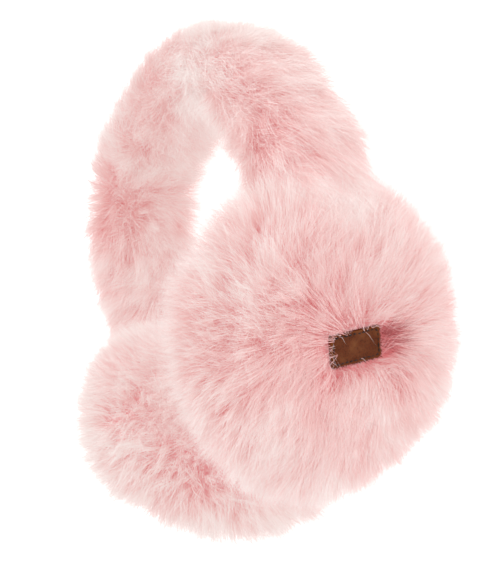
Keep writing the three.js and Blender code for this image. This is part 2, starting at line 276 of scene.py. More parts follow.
class Cup:
    """An ear cup, worn on side 1, which is +X, or -1. In its own frame Y is its axis, outwards."""

    def __init__(self, sizes, side):
        self.radius = sizes.diameter / 2
        self.half_thickness = sizes.thickness / 2
        self.roundness = sizes.roundness
        outward = np.array([side * math.cos(sizes.tilt), 0, -math.sin(sizes.tilt)])
        across = np.array([0.0, side, 0.0])
        self.axes = np.stack([across, outward, np.cross(across, outward)])
        dual = self.roundness / (self.roundness - 1)
        reach = ((self.radius * math.sin(sizes.tilt)) ** dual
                 + (self.half_thickness * math.cos(sizes.tilt)) ** dual) ** (1 / dual)
        self.middle = np.array([side * (reach + sizes.gap / 2), 0, 0])

    def to_worn(self, own):
        return own @ self.axes + self.middle

    def to_own(self, worn):
        return (worn - self.middle) @ self.axes.T

    def profile(self, inset):
        """Radial and axial place along the profile, from the inner pole to the outer one, and its length."""
        angle = np.linspace(-math.pi / 2, math.pi / 2, PROFILE_POINTS)
        radial, axial = superellipse(angle, self.radius - inset, self.half_thickness - inset, self.roundness)
        radial[[0, -1]] = 0
        return radial, axial, length_along(np.stack([radial, axial], 1))

    def surface(self, share, angle, inset):
        """The profile turned about the axis: share goes along the profile by length and angle round the axis.
        Gives points, outward normals and the way straight out from the axis, all in the worn frame."""
        radial, axial, length = self.profile(inset)
        r = np.interp(share * length[-1], length, radial)
        y = np.interp(share * length[-1], length, axial)
        out, up = superellipse_normal(r, y, self.radius - inset, self.half_thickness - inset, self.roundness)
        cosine, sine = np.cos(angle), np.sin(angle)
        points = np.stack([r * cosine, y, r * sine], -1)
        normals = np.stack([out * cosine, up, out * sine], -1)
        radial_way = np.stack([cosine, np.zeros_like(cosine), sine], -1)
        return self.to_worn(points), normals @ self.axes, radial_way @ self.axes

    def level(self, worn, inset=0.0):
        """How far out a point lies: 1 on the surface at this inset, less inside."""
        own = self.to_own(worn)
        radial = np.hypot(own[..., 0], own[..., 2]) / (self.radius - inset)
        axial = np.abs(own[..., 1]) / (self.half_thickness - inset)
        return (radial ** self.roundness + axial ** self.roundness) ** (1 / self.roundness)

    def scatter(self, count, first, last, inset, rng):
        """Shares and angles of points spread evenly over the surface between two shares of the profile: the
        share is where a random part of the area, which grows as radial place times length, is reached."""
        radial, _, length = self.profile(inset)
        shares = length / length[-1]
        area = np.concatenate([[0], np.cumsum((radial[1:] + radial[:-1]) / 2 * np.diff(shares))])
        low, high = np.interp([first, last], shares, area)
        share = np.interp(rng.uniform(low, high, count), area, shares)
        return share, rng.uniform(0, 2 * math.pi, count)


class Headband:
    """The headband. Its share of length runs from inside the right cup over the crown to the left cup."""

    def __init__(self, sizes, right_cup):
        self.half_width, self.half_thickness = sizes.width / 2, sizes.thickness / 2
        self.roundness = sizes.roundness

        def arch(angle):
            """Half a superellipse above the spring line, run on a little below it."""
            x, z = superellipse(angle, sizes.span / 2, sizes.rise, sizes.arch_roundness)
            return np.stack([x, np.zeros_like(x), sizes.spring_height + z], -1)

        down = np.linspace(0, -math.pi / 2, ARCH_POINTS)
        own = right_cup.to_own(arch(down))
        seated = np.hypot(own[:, 0], own[:, 2]) <= right_cup.radius - sizes.seat_depth
        end = down[seated.argmax()]
        points = arch(np.linspace(end, math.pi - end, ARCH_POINTS))
        length = length_along(points)
        self.shares = np.linspace(0, 1, ARCH_POINTS)
        self.length = length[-1]
        self.points = np.stack([np.interp(self.shares * length[-1], length, points[:, k]) for k in range(3)], 1)
        self.alongs = unit(np.gradient(self.points, axis=0))

    def middle_line(self, share):
        """The point and the way along at a share of the length, read from the table of the arch."""
        point = np.stack([np.interp(share, self.shares, self.points[:, k]) for k in range(3)], -1)
        along = np.stack([np.interp(share, self.shares, self.alongs[:, k]) for k in range(3)], -1)
        return point, unit(along)

    def surface(self, share, section_share, inset):
        """The section, a superellipse, carried along the arch: section_share goes round it by length. Gives
        points, outward normals and the way along the band."""
        half_width, half_thickness = self.half_width - inset, self.half_thickness - inset
        angle = np.linspace(0, 2 * math.pi, PROFILE_POINTS)
        across, out = superellipse(angle, half_width, half_thickness, self.roundness)
        length = length_along(np.stack([across, out], 1))
        a = np.interp(section_share % 1 * length[-1], length, across)
        o = np.interp(section_share % 1 * length[-1], length, out)
        n_a, n_o = superellipse_normal(a, o, half_width, half_thickness, self.roundness)
        point, along = self.middle_line(share)
        across_way = np.zeros_like(along)
        across_way[..., 1] = 1
        out_way = np.cross(across_way, along)
        points = point + a[..., None] * across_way + o[..., None] * out_way
        return points, n_a[..., None] * across_way + n_o[..., None] * out_way, along

    def level(self, worn):
        """How far out a point lies in the section nearest to it: 1 on the surface, less inside."""
        share = np.linspace(0, 1, NEAREST_POINTS)
        middle, along = self.middle_line(share)
        flat = worn.reshape(-1, 3)
        distance = (middle ** 2).sum(1) - 2 * flat @ middle.T
        nearest = distance.argmin(1)
        offset = flat - middle[nearest]
        beyond = (offset * along[nearest]).sum(1)
        offset = offset - beyond[:, None] * along[nearest]
        past_end = np.where((nearest == 0) | (nearest == NEAREST_POINTS - 1), np.abs(beyond), 0)
        across = np.abs(offset[:, 1])
        out = np.hypot(np.hypot(offset[:, 0], offset[:, 2]), past_end)
        p = self.roundness
        level = (across / self.half_width) ** p + (out / self.half_thickness) ** p
        return level.reshape(worn.shape[:-1]) ** (1 / p)


class LyingFrame:
    """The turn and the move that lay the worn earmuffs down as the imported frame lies, read from the facing and
    the middle of the frame's label."""

    def __init__(self, right_cup, label, fur):
        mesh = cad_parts["leather_label"].data
        areas = np.empty(len(mesh.polygons))
        mesh.polygons.foreach_get("area", areas)
        normals = np.empty(len(mesh.polygons) * 3)
        mesh.polygons.foreach_get("normal", normals)
        facing = normals.reshape(-1, 3)[areas.argmax()]
        facing = facing * np.sign(facing[0])
        tilt = math.atan2(facing[2], -facing[1])
        self.axes = np.array([[1, 0, 0],
                              [0, -math.sin(tilt), math.cos(tilt)],
                              [0, -math.cos(tilt), -math.sin(tilt)]])
        low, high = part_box("leather_label")
        self.label_depth = right_cup.half_thickness - fur.depth + label.clearance
        middle = right_cup.to_worn(np.array([0, self.label_depth + label.thickness / 2, 0]))
        self.move = np.array((low + high) / 2) - self.axes @ middle

    def lay(self, worn):
        return worn @ self.axes.T + self.move

    def turn(self, worn):
        return worn @ self.axes.T


def pressed(points, height):
    """The floor presses what lies low: under this height h, z becomes h * e^((z - h) / h), which nears 0."""
    z = points[..., 2]
    low = np.minimum(z, height)
    points = points.copy()
    points[..., 2] = np.where(z < height, height * np.exp((low - height) / height), z)
    return points


# Meshes


def new_object(name, points, faces, material, smooth=True):
    """A mesh object at the origin from an array of points and arrays of faces, one for each face size."""
    mesh = bpy.data.meshes.new(name)
    corners = np.concatenate([part.ravel() for part in faces]).astype(np.int32)
    sizes = np.concatenate([np.full(len(part), part.shape[1]) for part in faces]).astype(np.int32)
    mesh.vertices.add(len(points))
    mesh.vertices.foreach_set("co", np.ascontiguousarray(points, np.float32).ravel())
    mesh.loops.add(len(corners))
    mesh.loops.foreach_set("vertex_index", corners)
    mesh.polygons.add(len(sizes))
    mesh.polygons.foreach_set("loop_start", np.concatenate([[0], np.cumsum(sizes)[:-1]]).astype(np.int32))
    mesh.polygons.foreach_set("use_smooth", np.full(len(sizes), smooth))
    mesh.update(calc_edges=True)
    mesh.materials.append(material)
    made = bpy.data.objects.new(name, mesh)
    bpy.context.scene.collection.objects.link(made)
    return made


def closed_skin(rows, first_pole, last_pole):
    """Points and faces of a skin of rows of points that close round, with a pole beyond each end row. Faces
    point out if a row turns right-handed about the way from the first row to the last."""
    count, around = rows.shape[:2]
    points = np.concatenate([rows.reshape(-1, 3), [first_pole], [last_pole]])
    index = np.arange(count * around).reshape(count, around)
    after = np.roll(index, -1, axis=1)
    quads = np.stack([index[:-1], after[:-1], after[1:], index[1:]], -1).reshape(-1, 4)
    first = np.stack([np.full(around, count * around), after[0], index[0]], -1)
    last = np.stack([np.full(around, count * around + 1), index[-1], after[-1]], -1)
    return points, [quads, np.concatenate([first, last])]


def wander(points, size, seed):
    """Smooth noise of about -1 to 1 over space: the mean of sines along random lines, of about this size."""
    rng = np.random.default_rng(seed)
    waves = rng.normal(size=(3, 9)) * (2 * math.pi / size) / math.sqrt(3)
    return np.sin(points @ waves + rng.uniform(0, 2 * math.pi, 9)).sum(-1) / 3


def wanders(points, waves, seed=0):
    """The sum of smooth noises, each given by its height, its size and its shift of the seed."""
    return sum(height * wander(points, size, seed + shift) for height, size, shift in waves)


def hill(value, middle, size):
    """1 at the middle, falling off on both sides as e to the minus square of the distance over the size."""
    return np.exp(-((value - middle) / size) ** 2)


def tuft_numbers(points, size, seed):
    """The number of the tuft that each point belongs to. Space is cut into cubes with one random point in
    each, and a point belongs to the nearest of them."""
    cell = np.floor(points / size).astype(np.int64)
    shift = seed * 7.31
    nearest = np.full(len(points), np.inf)
    chosen = np.zeros((len(points), 3), np.int64)
    for step in np.ndindex(3, 3, 3):
        other = cell + np.array(step) - 1
        spread = np.sin(other @ np.array([[127.1, 269.5, 419.2], [311.7, 183.3, 371.9], [74.7, 246.1, 168.3]])
                        + shift) * 43758.5453
        centre = (other + spread % 1) * size
        distance = ((points - centre) ** 2).sum(1)
        closer = distance < nearest
        nearest[closer] = distance[closer]
        chosen[closer] = other[closer]
    chosen -= chosen.min(0)
    extent = chosen.max(0) + 1
    key = (chosen[:, 0] * extent[1] + chosen[:, 1]) * extent[2] + chosen[:, 2]
    return np.unique(key, return_inverse=True)[1]


def tuft_mean(values, numbers):
    """The mean of the values over each tuft, given back for each of its members."""
    count = np.bincount(numbers)
    return np.stack([np.bincount(numbers, values[:, k]) / count for k in range(values.shape[1])], 1)[numbers]


class Coat:
    """Where the strands of a piece stand, and for each its surface's normal, the way it is combed, how far it
    leans, the level at which it ends and how much paler it is than the rest."""

    def __init__(self, roots, normals, flow, lean, goal, paleness):
        self.roots, self.normals, self.flow = roots, normals, flow
        self.lean, self.goal, self.paleness = lean, goal, paleness


class Comb:
    """How the strands of a piece lie: which way, how far they lean, and how they gather in tufts."""
    TONES = (0.07, 0.08, 0.11)  # how much large tufts, small tufts and single strands differ in tone
    TUFT_TRIM = 0.02  # how much large tufts differ in the level at which they end
    WAVE_TRIM, WAVE_SIZE = 0.025, 0.06  # of a slow wave in that level
    TRIM_POWER = 1.3  # over 1, so that most strands keep nearly their full length
    FIRST_LENGTH = 1.3  # a guess, as a share of the fur's depth
    SHORTEST = 0.003
    LENGTH_CHANGES = (0.4, 2.5)  # least and most change of a length in one round
    STRAY_PULL = 0.3  # of a stray hair into its tufts, as a share of the others'

    def __init__(self, fur, level, leans, seed):
        self.fur, self.level, self.leans, self.seed = fur, level, leans, seed

    def strands(self, coat, rng):
        """Rings of each strand. A step goes on along the mix of the surface's normal and the comb's way, with
        the lean's share of the comb's way, and the length is then cut so that the tip ends near its goal."""
        fur, roots = self.fur, coat.roots
        count = len(roots)
        tufts = tuft_numbers(roots, fur.tuft, self.seed)
        wisps = tuft_numbers(roots, fur.wisp, self.seed + 1)
        push = (rng.normal(0, fur.tuft_push, (tufts.max() + 1, 3))[tufts]
                + rng.normal(0, fur.wisp_push, (wisps.max() + 1, 3))[wisps]
                + rng.normal(0, fur.strand_push, (count, 3)))
        steps = [unit(coat.normals * (1 - k * coat.lean[:, None]) + coat.flow * (k * coat.lean[:, None]) + push)
                 for k in self.leans]
        tuft_trim = rng.normal(0, self.TUFT_TRIM, tufts.max() + 1)[tufts]
        goal = coat.goal + tuft_trim + self.WAVE_TRIM * wander(roots, self.WAVE_SIZE, self.seed + 7)
        goal -= fur.unevenness * rng.random(count) ** self.TRIM_POWER
        stray = rng.random(count) < fur.stray_share
        reach = rng.random(count) * fur.stray_reach
        length = np.full(count, fur.depth * self.FIRST_LENGTH)
        start = self.level(roots)
        for _ in range(3):
            tips = self.rings(roots, steps, length)[:, -1]
            gained = np.maximum(self.level(tips) - start, 1e-3)
            change = np.clip((goal - start) / gained, *self.LENGTH_CHANGES)
            length = np.clip(length * change, self.SHORTEST, fur.longest)
        length = length + np.where(stray, reach, 0)
        rings = self.rings(roots, steps, length)
        for numbers, pull in ((tufts, fur.tuft_pull), (wisps, fur.wisp_pull)):
            for ring in range(1, rings.shape[1]):
                centre = tuft_mean(rings[:, ring], numbers)
                strength = pull * STRAND_STEPS[ring] * np.where(stray, self.STRAY_PULL, 1)
                rings[:, ring] += strength[:, None] * (centre - rings[:, ring])
        large, small, single = self.TONES
        tone = (0.5 + coat.paleness + rng.normal(0, large, tufts.max() + 1)[tufts]
                + rng.normal(0, small, wisps.max() + 1)[wisps] + rng.normal(0, single, count))
        return rings, tone, stray

    @staticmethod
    def rings(roots, steps, length):
        """The points at the rings of the strands: each step adds its share of the length along its way."""
        points = [roots]
        for way, share in zip(steps, np.diff(STRAND_STEPS)):
            points.append(points[-1] + way * (length * share)[:, None])
        return np.stack(points, 1)


def ribbon_object(name, rings, facing, width, tone, material):
    """Strands as flat tapering ribbons. At each ring but the last a point lies half the width to each side,
    square to the strand and to the way it faces, and the ribbon ends in one point. Its map has the tone, at
    half scale about the middle, across it and the place along the strand up it."""
    count, steps = len(rings), rings.shape[1] - 1
    way = unit(np.diff(rings, axis=1))
    ahead = np.concatenate([way[:, :1], way[:, 1:] + way[:, :-1]], 1)
    side = unit(np.cross(unit(ahead), facing[:, None]))
    half = side * (width[:, None] * STRAND_TAPER[:steps] / 2)[..., None]
    left, right = rings[:, :-1] - half, rings[:, :-1] + half
    pairs = np.stack([left, right], 2).reshape(count, 2 * steps, 3)
    points = np.concatenate([pairs, rings[:, -1:]], 1)
    per_strand = 2 * steps + 1
    base = (np.arange(count) * per_strand)[:, None, None]
    quad = np.array([[2 * k, 2 * k + 1, 2 * k + 3, 2 * k + 2] for k in range(steps - 1)])
    tip = np.array([[2 * steps - 2, 2 * steps - 1, 2 * steps]])
    faces = [(base + quad).reshape(-1, 4), (base + tip).reshape(-1, 3)]
    made = new_object(name, points.reshape(-1, 3), faces, material)
    along = np.repeat(STRAND_STEPS[:-1], 2).tolist() + [1.0]
    across = [-1.0, 1.0] * steps + [0.0]
    tone_place = np.clip(0.25 + 0.5 * tone, 0.02, 0.98)[:, None] + MAP_HALF_WIDTH * np.array(across)
    along_place = np.tile(np.clip(along, MAP_RIM, 1 - MAP_RIM), count)
    strand_map = np.stack([tone_place.ravel(), along_place], 1)
    add_map(made.data, "strand", strand_map)
    add_map(made.data, "OFBake", strand_map)
    return made


def add_map(mesh, name, places):
    """A UV map from one place for each vertex."""
    vertex = np.empty(len(mesh.loops), np.int32)
    mesh.loops.foreach_get("vertex_index", vertex)
    layer = mesh.uv_layers.new(name=name, do_init=False)
    layer.uv.foreach_set("vector", places[vertex].astype(np.float32).ravel())


# Materials


def add_node(tree, kind, **settings):
    node = tree.nodes.new(kind)
    for key, value in settings.items():
        setattr(node, key, value)
    return node


def new_group(name, inputs, outputs):
    """An empty node group with these sockets, or the one already made, and whether it is new."""
    found = bpy.data.node_groups.get(name)
    if found:
        return found, None, None
    group = bpy.data.node_groups.new(name, "ShaderNodeTree")
    for label, kind, default in inputs:
        socket = group.interface.new_socket(label, in_out="INPUT", socket_type=kind)
        socket.default_value = default
    for label, kind in outputs:
        group.interface.new_socket(label, in_out="OUTPUT", socket_type=kind)
    return group, add_node(group, "NodeGroupInput"), add_node(group, "NodeGroupOutput")


def mix_colours(tree, factor, first, second):
    """A node that goes from the first colour to the second as the factor goes from 0 to 1."""
    node = add_node(tree, "ShaderNodeMix", data_type="RGBA")
    tree.links.new(factor, node.inputs["Factor"])
    tree.links.new(first, node.inputs[6])
    tree.links.new(second, node.inputs[7])
    return node.outputs[2]


def multiplied(tree, factor, colour, tint):
    """The colour times the tint, by as much as the factor says."""
    node = add_node(tree, "ShaderNodeMix", data_type="RGBA", blend_type="MULTIPLY")
    if isinstance(factor, float):
        node.inputs["Factor"].default_value = factor
    else:
        tree.links.new(factor, node.inputs["Factor"])
    tree.links.new(colour, node.inputs[6])
    tree.links.new(tint, node.inputs[7])
    return node.outputs[2]


def smooth_step(tree, value, low, high):
    """0 under the low value, 1 over the high one, smooth between."""
    node = add_node(tree, "ShaderNodeMapRange", interpolation_type="SMOOTHSTEP")
    node.inputs["From Min"].default_value = low
    node.inputs["From Max"].default_value = high
    tree.links.new(value, node.inputs["Value"])
    return node.outputs["Result"]


def calculate(tree, operation, first, second):
    node = add_node(tree, "ShaderNodeMath", operation=operation)
    for socket, value in zip(node.inputs, (first, second)):
        if isinstance(value, (int, float)):
            socket.default_value = value
        else:
            tree.links.new(value, socket)
    return node.outputs[0]


def fur_shade_group():
    """Colour of a strand: from its root to its tip through three colours, paler all along if its tone is
    high, and deeper if it is low. A strand of the lowest tones takes the shade's colour too: a painted
    shadow. Its glow is painted light, its colour tinted, in place of light passed on through the fur."""
    colour, value = "NodeSocketColor", "NodeSocketFloat"
    group, given, result = new_group(
        "Fur shade",
        [(name, colour, WHITE) for name in ("Root", "Middle", "Tip", "Tint", "Shade")]
        + [(name, value, 0.5) for name in ("Along", "Tone")],
        [("Color", colour), ("Glow", colour)])
    if given is None:
        return group
    paler = calculate(group, "SUBTRACT", given.outputs["Tone"], 0.5)
    place = calculate(group, "ADD", given.outputs["Along"], paler)
    low = mix_colours(group, smooth_step(group, place, 0.0, 0.4), given.outputs["Root"],
                      given.outputs["Middle"])
    whole = mix_colours(group, smooth_step(group, place, 0.4, 1.0), low, given.outputs["Tip"])
    lit = smooth_step(group, given.outputs["Tone"], 0.13, 0.24)
    shaded = multiplied(group, calculate(group, "SUBTRACT", 1.0, lit), whole, given.outputs["Shade"])
    group.links.new(shaded, result.inputs["Color"])
    group.links.new(multiplied(group, 1.0, shaded, given.outputs["Tint"]), result.inputs["Glow"])
    return group


def mottle_group():
    """Two colours mixed by noise of a given size, and the noise as a height."""
    colour, value = "NodeSocketColor", "NodeSocketFloat"
    group, given, result = new_group(
        "Mottle",
        [("First", colour, WHITE), ("Second", colour, WHITE), ("Size", value, 0.01), ("Detail", value, 3.0),
         ("Low", value, 0.35), ("High", value, 0.65)],
        [("Color", colour), ("Height", value)])
    if given is None:
        return group
    place = add_node(group, "ShaderNodeTexCoord")
    noise = add_node(group, "ShaderNodeTexNoise")
    group.links.new(place.outputs["Object"], noise.inputs["Vector"])
    group.links.new(calculate(group, "DIVIDE", 1.0, given.outputs["Size"]), noise.inputs["Scale"])
    group.links.new(given.outputs["Detail"], noise.inputs["Detail"])
    step = add_node(group, "ShaderNodeMapRange", interpolation_type="SMOOTHSTEP")
    group.links.new(noise.outputs["Fac"], step.inputs["Value"])
    group.links.new(given.outputs["Low"], step.inputs["From Min"])
    group.links.new(given.outputs["High"], step.inputs["From Max"])
    factor = step.outputs["Result"]
    mixed = mix_colours(group, factor, given.outputs["First"], given.outputs["Second"])
    group.links.new(mixed, result.inputs["Color"])
    group.links.new(factor, result.inputs["Height"])
    return group


def new_material(name):
    """A material with a Principled shader, and its tree and shader node."""
    material = bpy.data.materials.new(name)
    material.use_nodes = True
    return material, material.node_tree, material.node_tree.nodes["Principled BSDF"]


def set_inputs(node, **values):
    """Sets constants on a node's inputs, where an underscore in a name stands for a space."""
    for key, value in values.items():
        node.inputs[key.replace("_", " ")].default_value = value


def place_group(tree, group, **values):
    """A node of this group with its inputs set."""
    node = add_node(tree, "ShaderNodeGroup", node_tree=group)
    set_inputs(node, **values)
    return node


def with_alpha(colour):
    return (*colour, 1.0)


def add_bump(tree, height, shader, strength, distance):
    """Lets the height tilt the shader's normal."""
    bump = add_node(tree, "ShaderNodeBump")
    set_inputs(bump, Strength=strength, Distance=distance)
    tree.links.new(height, bump.inputs["Height"])
    tree.links.new(bump.outputs["Normal"], shader.inputs["Normal"])


def strand_material(name, root, middle, tip, shade, glow, glow_strength):
    """The strands' own map gives the tone across it, at half scale, and the place along the strand up it."""
    found = bpy.data.materials.get(name)
    if found:
        return found
    material, tree, shader = new_material(name)
    strand = add_node(tree, "ShaderNodeUVMap", uv_map="strand")
    parts = add_node(tree, "ShaderNodeSeparateXYZ")
    tree.links.new(strand.outputs["UV"], parts.inputs["Vector"])
    colour = place_group(tree, fur_shade_group(), Root=with_alpha(root), Middle=with_alpha(middle),
                         Tip=with_alpha(tip), Shade=with_alpha(shade), Tint=with_alpha(glow))
    tree.links.new(parts.outputs["X"], colour.inputs["Tone"])
    tree.links.new(parts.outputs["Y"], colour.inputs["Along"])
    tree.links.new(colour.outputs["Color"], shader.inputs["Base Color"])
    set_inputs(shader, Roughness=0.8, Specular_IOR_Level=0.15)
    # The strands glow with their tinted colour: painted light, though the fur is no lamp
    if glow_strength:
        tree.links.new(colour.outputs["Glow"], shader.inputs["Emission Color"])
        shader.inputs["Emission Strength"].default_value = glow_strength
        material.cycles.emission_sampling = "NONE"
    return material


def fur_material(name, colours):
    return strand_material(name, colours.root, colours.middle, colours.tip, colours.shade, colours.glow,
                           colours.glow_strength)


def backing_material(colours):
    found = bpy.data.materials.get("underfur")
    if found:
        return found
    material, tree, shader = new_material("underfur")
    lighter = tuple(0.5 * (a + b) for a, b in zip(colours.backing, colours.middle))
    mottle = place_group(tree, mottle_group(), First=with_alpha(colours.backing),
                         Second=with_alpha(lighter), Size=0.0012, Detail=4.0)
    tree.links.new(mottle.outputs["Color"], shader.inputs["Base Color"])
    add_bump(tree, mottle.outputs["Height"], shader, 0.6, 0.001)
    # The underfur glows with its own colour: painted light, as on the strands
    tree.links.new(mottle.outputs["Color"], shader.inputs["Emission Color"])
    set_inputs(shader, Roughness=0.95, Specular_IOR_Level=0.1, Emission_Strength=colours.glow_strength)
    material.cycles.emission_sampling = "NONE"
    return material


def leather_material(label, edge):
    """Leather with a fine grain, rubbed paler in patches, and paler still on its cut edge."""
    name = "label edge" if edge else "label leather"
    material, tree, shader = new_material(name)
    face, rubbed = with_alpha(label.leather), with_alpha(label.worn_leather)
    dark = tuple(0.45 * part for part in label.leather)
    grain = place_group(tree, mottle_group(), First=with_alpha(dark), Second=face,
                        Size=0.0006, Detail=5.0, Low=0.3, High=0.55)
    patches = place_group(tree, mottle_group(), Size=0.005, Detail=4.0, Low=0.45 if not edge else 0.1,
                          High=0.9 if not edge else 0.6)
    blend = add_node(tree, "ShaderNodeMix", data_type="RGBA")
    tree.links.new(patches.outputs["Height"], blend.inputs["Factor"])
    tree.links.new(grain.outputs["Color"], blend.inputs[6])
    blend.inputs[7].default_value = rubbed
    tree.links.new(blend.outputs[2], shader.inputs["Base Color"])
    add_bump(tree, grain.outputs["Height"], shader, 0.5, 0.0002)
    set_inputs(shader, Roughness=0.85 if edge else 0.62, Specular_IOR_Level=0.12)
    return material


# Pieces


def shapes(scene):
    """The cups, the headband and the frame they lie in, from the sizes on the scene."""
    cups = {side: Cup(scene.earmuffs_cups, side) for side in (1, -1)}
    band = Headband(scene.earmuffs_band, cups[1])
    lying = LyingFrame(cups[1], scene.earmuffs_label, scene.earmuffs_fur)
    return cups, band, lying


CUP_PIECES = {1: ("ear_cup_with_label", "labelled_cup"), -1: ("ear_cup_plain", "plain_cup")}


def finish_piece(piece, node=None):
    """Rides on the one body, and stands for the node if one is named."""
    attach(piece, "root")
    if node:
        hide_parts(node)


class EARMUFFS_OT_cup_backings(bpy.types.Operator):
    """Make the padded cups under the fur"""
    bl_idname = "earmuffs.cup_backings"
    bl_label = "Cup Backings"

    def execute(self, context):
        scene = context.scene
        cups, _, lying = shapes(scene)
        fur = scene.earmuffs_fur
        rows, around = CUP_GRID
        share, angle = np.meshgrid(np.linspace(0, 1, rows + 2)[1:-1],
                                   -np.linspace(0, 2 * math.pi, around, endpoint=False), indexing="ij")
        for side, (node, name) in CUP_PIECES.items():
            cup = cups[side]
            points, normals, _ = cup.surface(share, angle, fur.depth)
            points = points + normals * (LUMP_HEIGHT * wander(points, LUMP_SIZE, 40 + side))[..., None]
            poles = cup.to_worn(np.array([[0, -1, 0], [0, 1, 0]]) * (cup.half_thickness - fur.depth))
            laid = pressed(lying.lay(points), fur.press)
            skin = closed_skin(laid, *pressed(lying.lay(poles), fur.press))
            piece = new_object(f"{name}_backing", *skin, backing_material(scene.earmuffs_colours))
            finish_piece(piece, node)
        return {"FINISHED"}


class EARMUFFS_OT_headband_backing(bpy.types.Operator):
    """Make the padded headband under the fur"""
    bl_idname = "earmuffs.headband_backing"
    bl_label = "Headband Backing"

    def execute(self, context):
        scene = context.scene
        _, band, lying = shapes(scene)
        fur = scene.earmuffs_fur
        rows, around = BAND_GRID
        share, section = np.meshgrid(np.linspace(0, 1, rows),
                                     -np.linspace(0, 1, around, endpoint=False), indexing="ij")
        points, normals, _ = band.surface(share, section, fur.depth)
        points = points + normals * (LUMP_HEIGHT * wander(points, LUMP_SIZE, 44))[..., None]
        ends = band.middle_line(np.array([0.0, 1.0]))[0]
        skin = closed_skin(pressed(lying.lay(points), fur.press), *pressed(lying.lay(ends), fur.press))
        piece = new_object("headband_backing", *skin, backing_material(scene.earmuffs_colours))
        finish_piece(piece, "headband")
        return {"FINISHED"}


def kept_in_room(rings):
    """Shortens a strand that would leave the room round the frame's box."""
    low, high = np.array(cad_bounds)
    room = ROOM_SHARE * (high - low) + ROOM
    way = rings - rings[:, :1]
    spare = np.where(way > 0, high + room - rings[:, :1], low - room - rings[:, :1])
    share = np.where(np.abs(way) > np.abs(spare), spare / np.where(way == 0, 1, way), 1).min((1, 2))
    return rings[:, :1] + way * share[:, None, None]


def grow(name, comb, coat, lying, material, seed, bare=None):
    """Grows the strands of one piece of fur and lays them down. Bare tells which points no strand may reach,
    and a strand that would is left out."""
    rng = np.random.default_rng(seed)
    rings, tone, stray = comb.strands(coat, rng)
    kept = np.ones(len(rings), bool) if bare is None else ~bare(rings).any(1)
    rings, tone, stray, normals = rings[kept], tone[kept], stray[kept], coat.normals[kept]
    press = comb.fur.press * rng.uniform(*PRESS_SPREAD, len(rings))[:, None]
    laid = pressed(kept_in_room(lying.lay(rings)), press)
    facing = unit(lying.turn(normals) + rng.normal(0, FACING_SPREAD, normals.shape))
    width = comb.fur.strand_width * rng.uniform(*WIDTH_SPREAD, len(rings)) * np.where(stray, STRAY_WIDTH, 1)
    piece = ribbon_object(name, laid, facing, width, tone, material)
    finish_piece(piece)
    return piece


class EARMUFFS_OT_cup_fur(bpy.types.Operator):
    """Grow the fur of both cups, combed out from the middle of each face to the rim"""
    bl_idname = "earmuffs.cup_fur"
    bl_label = "Cup Fur"

    def execute(self, context):
        scene = context.scene
        cups, band, lying = shapes(scene)
        fur, label = scene.earmuffs_fur, scene.earmuffs_label
        material = fur_material("cup fur", scene.earmuffs_colours)
        for side, part, first, last, count, seed in CUP_COATS:
            cup = cups[side]
            rng = np.random.default_rng(seed)
            share, angle = cup.scatter(count, first, last, fur.depth, rng)
            roots, normals, radial = cup.surface(share, angle, fur.depth)
            free = band.level(roots) > SEAT_LEVEL
            own = cup.to_own(roots)
            if side == 1:
                free &= ~under_label(own, label)
            own, roots, normals, radial = own[free], roots[free], normals[free], radial[free]
            turn = wanders(roots, CUP_SWIRLS, seed)
            flow = radial * np.cos(turn)[:, None] + np.cross(cup.axes[1], radial) * np.sin(turn)[:, None]
            reach = np.hypot(own[:, 0], own[:, 2])
            has_label = side == 1 and part == "outer"
            lean = cup_lean(roots, reach, not has_label, seed)
            upper = lying.turn(normals)[:, 2]
            paleness = cup_paleness(roots, reach / (cup.radius - fur.depth), upper, side, seed)
            if has_label:
                # Painted shadow: the fur in the label's dimple is painted deeper
                paleness -= label_shade(own, label)
            goal = 1 + fur.cup_fluff + cup_fullness(normals[:, 2], upper, side, has_label)
            coat = Coat(roots, normals, flow, lean, goal, paleness)

            def over_label(rings, cup=cup):
                return under_label(cup.to_own(rings), label, LABEL_BARE_MARGIN)

            grow(f"{CUP_PIECES[side][1]}_{part}_fur", Comb(fur, cup.level, CUP_LEAN, seed), coat, lying,
                 material, seed + 100, over_label if side == 1 else None)
        return {"FINISHED"}


def cup_lean(roots, reach, upright_middle, seed):
    """How far a cup's strands lean: not at all at the bare middle of a face, most round it, less at the rim.
    Reach is a root's distance from the axis."""
    lean = np.clip(reach / 0.012, 0, 1) if upright_middle else np.ones(len(roots))
    lean *= np.interp(reach, [0.018, 0.045], [1.25, 1.0])
    return np.clip(lean * (1 + 0.15 * wander(roots, 0.03, seed + 90)), 0, 1.45)


def cup_paleness(roots, reach, upper, side, seed):
    """A cup's fur is paler towards its rim. It is painted paler where it lies on top, and the plain cup's is
    painted paler all over: both are painted light. Reach is a share of the cup's radius, and upper how far a
    root's normal points up."""
    by_rim = 0.5 * (np.clip(reach, 0.6, 1) - 0.8)
    # Painted light: the plain cup is painted paler all over, and every cup paler on its upper side
    painted_light_by_side = 0.38 if side == -1 else 0.02
    return by_rim + 0.12 * wander(roots, 0.025, seed + 30) + 0.16 * upper + painted_light_by_side


def cup_fullness(worn_up, upper, side, has_label):
    """How much further the fur of a cup reaches where its normal points up or down as worn, and where it points
    down at the labelled cup or up at the plain one as they lie. The labelled cup's is fuller still where it
    faces the opening under the headband."""
    up, down = np.clip(worn_up, 0, 1), np.clip(-worn_up, 0, 1)
    by_down = 0.05 if has_label else 0.15
    fullness = 0.07 * up ** 2 + by_down * down ** 2 + 0.02 * side + 0.06 * np.clip(side * -upper, 0, 1) ** 2
    if side == 1:
        fullness += 0.2 * np.clip(upper, 0, 1) * up
    return fullness


